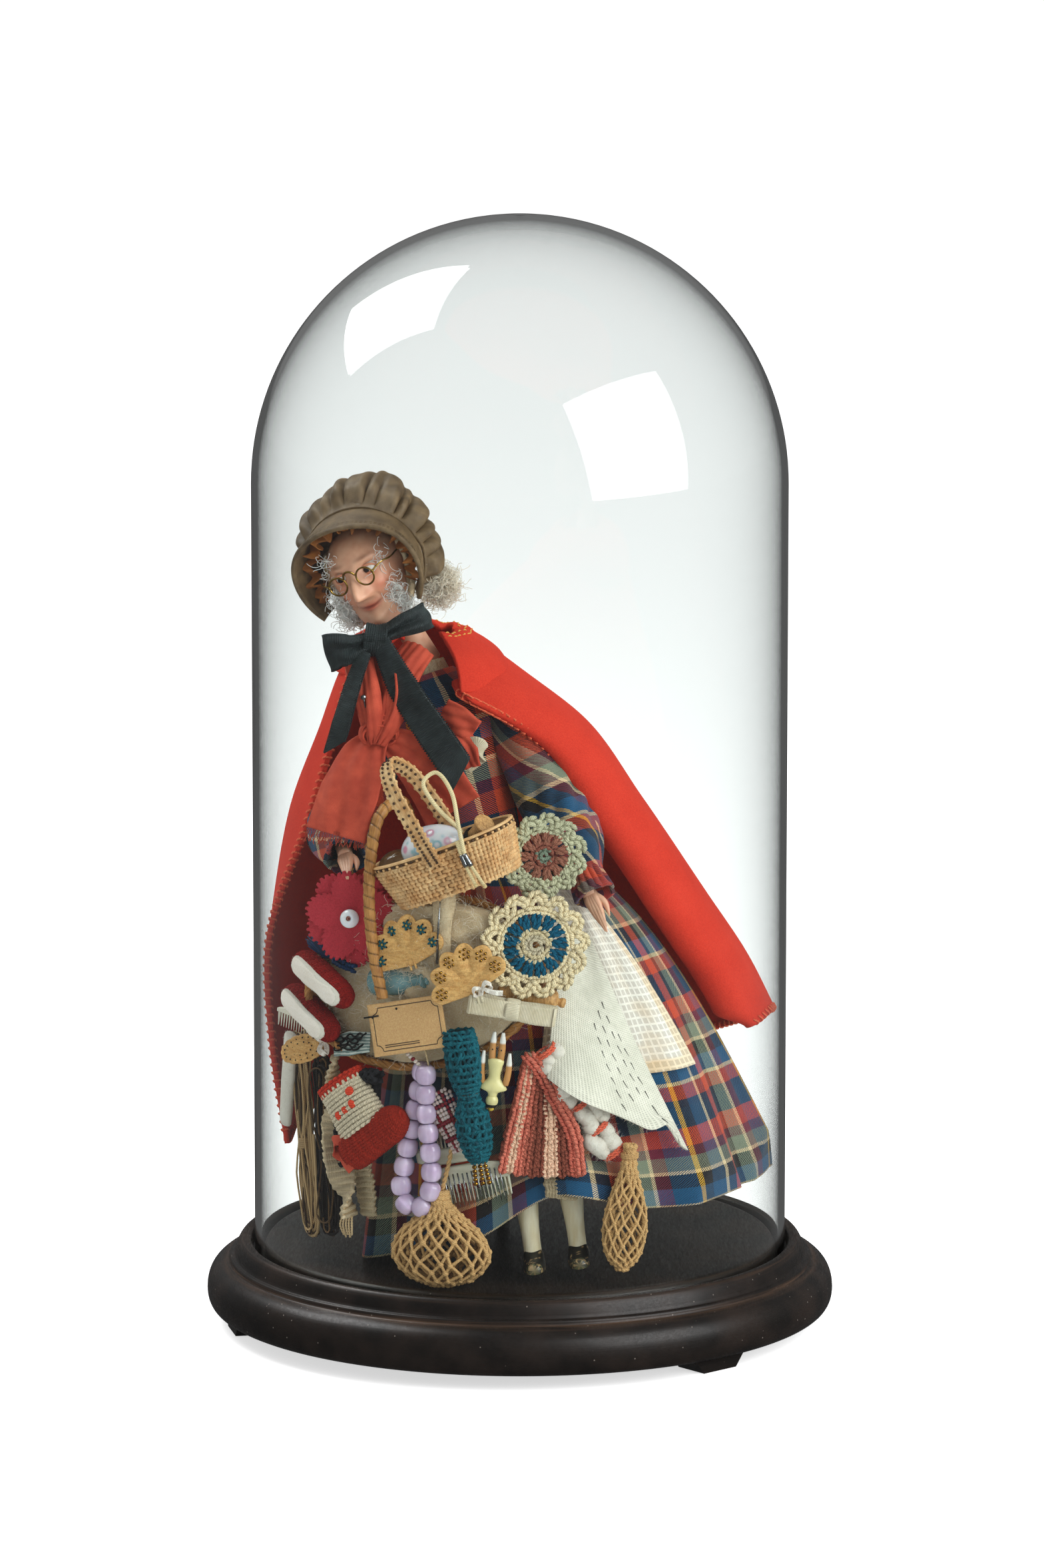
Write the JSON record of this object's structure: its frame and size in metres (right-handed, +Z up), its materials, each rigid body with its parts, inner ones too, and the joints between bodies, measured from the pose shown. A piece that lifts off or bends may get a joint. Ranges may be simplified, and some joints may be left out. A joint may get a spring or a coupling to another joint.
{
  "type": "pedlar doll under a glass dome",
  "caption": "Dressed wooden pedlar doll in a red cape and poke bonnet with a tray of miniature wares, on a turned black plinth under a lift-off glass dome.",
  "frame": {"origin": "on the floor under the dome's axis", "axes": "+Z up along the dome's axis, -Y towards the viewer, +X to the viewer's right"},
  "size_m": [0.2536, 0.255, 0.4523],
  "materials": {
    "ebonised_wood": "polished",
    "dome_glass": "clear",
    "doll_wood": "painted",
    "painted_skin": "painted",
    "iron": "blackened",
    "brass_wire": "aged",
    "tartan_twill": "woven",
    "white_cloth": "woven",
    "scarlet_felt": "felted",
    "coral_cloth": "woven",
    "bronze_silk": "silk",
    "black_ribbon": "ribbed",
    "mohair": "hair",
    "wicker": "woven",
    "fleece": "wool",
    "yarn": "knitted",
    "coloured_yarn": "crocheted",
    "cord": "braided",
    "board": "card",
    "opal_glass": "opal",
    "blue_glass": "clear",
    "satin_glass": "satin",
    "ivory": "polished",
    "horn": "polished"
  },
  "bodies": {
    "base": {"plinth": "ebonised_wood", "plinth_foot_1": "ebonised_wood", "plinth_foot_2": "ebonised_wood", "plinth_foot_3": "ebonised_wood", "support_stand": "iron", "torso": "doll_wood", "arm_right": "painted_skin", "head": "painted_skin", "spectacles": "brass_wire", "hair": "mohair", "skirt": "tartan_twill", "bodice": "tartan_twill", "sleeve_right": "tartan_twill", "apron": "white_cloth", "needle_cloth": "white_cloth", "cape": "scarlet_felt", "cape_collar": "scarlet_felt", "bonnet_crown": "bronze_silk", "bonnet_brim": "bronze_silk", "ribbon_bow": "black_ribbon", "ribbon_tail_left": "black_ribbon", "ribbon_tail_right": "black_ribbon", "kerchief": "coral_cloth", "tray": "wicker", "tray_handle": "wicker", "fleece_bed": "fleece", "egg_basket": "wicker", "opal_egg": "opal_glass", "bootlace": "cord", "penwiper": "scarlet_felt", "doily_teal": "yarn", "doily_green": "coloured_yarn", "fan_left": "board", "fan_right": "board", "glass_bottle": "blue_glass", "slipper_upper": "coloured_yarn", "slipper_lower": "coloured_yarn", "ivory_comb": "ivory", "paddle_fan": "doll_wood", "trade_card": "board", "tape_bundle": "yarn", "lace_hank_brown": "cord", "lace_hank_black": "cord", "knitted_strip": "yarn", "bootee": "yarn", "bead_necklace": "satin_glass", "miser_purse": "coloured_yarn", "peg_doll": "doll_wood", "ribbed_purse": "coloured_yarn", "wool_skein": "yarn", "horn_comb": "horn", "net_bag_front": "cord", "net_bag_right": "cord"},
    "dome": {"glass_dome": "dome_glass"},
    "leg_upper_left": {"thigh_left": "doll_wood"},
    "leg_upper_right": {"thigh_right": "doll_wood"},
    "leg_lower_left": {"shin_left": "doll_wood"},
    "leg_lower_right": {"shin_right": "doll_wood"},
    "arm": {"arm_left": "painted_skin", "sleeve_left": "tartan_twill"}
  },
  "joints": [
    {"name": "dome_lift", "type": "slide", "parent": "base", "child": "dome", "axis": [0, 0, 1], "range_m": [0, 0.4]},
    {"name": "hip_left", "type": "hinge", "parent": "base", "child": "leg_upper_left", "pos_m": [0.00692, -0.044, 0.17017], "axis": [0.9914, 0, 0.1305], "range_deg": [-2, 5]},
    {"name": "hip_right", "type": "hinge", "parent": "base", "child": "leg_upper_right", "pos_m": [-0.01092, -0.044, 0.16783], "axis": [0.9914, 0, 0.1305], "range_deg": [-2, 5]},
    {"name": "knee_left", "type": "hinge", "parent": "leg_upper_left", "child": "leg_lower_left", "pos_m": [0.01502, -0.06657, 0.10869], "axis": [0.9914, 0, 0.1305], "range_deg": [0, 60]},
    {"name": "knee_right", "type": "hinge", "parent": "leg_upper_right", "child": "leg_lower_right", "pos_m": [-0.00283, -0.06657, 0.10634], "axis": [0.9914, 0, 0.1305], "range_deg": [0, 60]},
    {"name": "shoulder_left", "type": "hinge", "parent": "base", "child": "arm", "pos_m": [-0.00704, -0.03257, 0.26243], "axis": [0.9043, -0.2539, 0.3431], "range_deg": [-5, 4]}
  ]
}
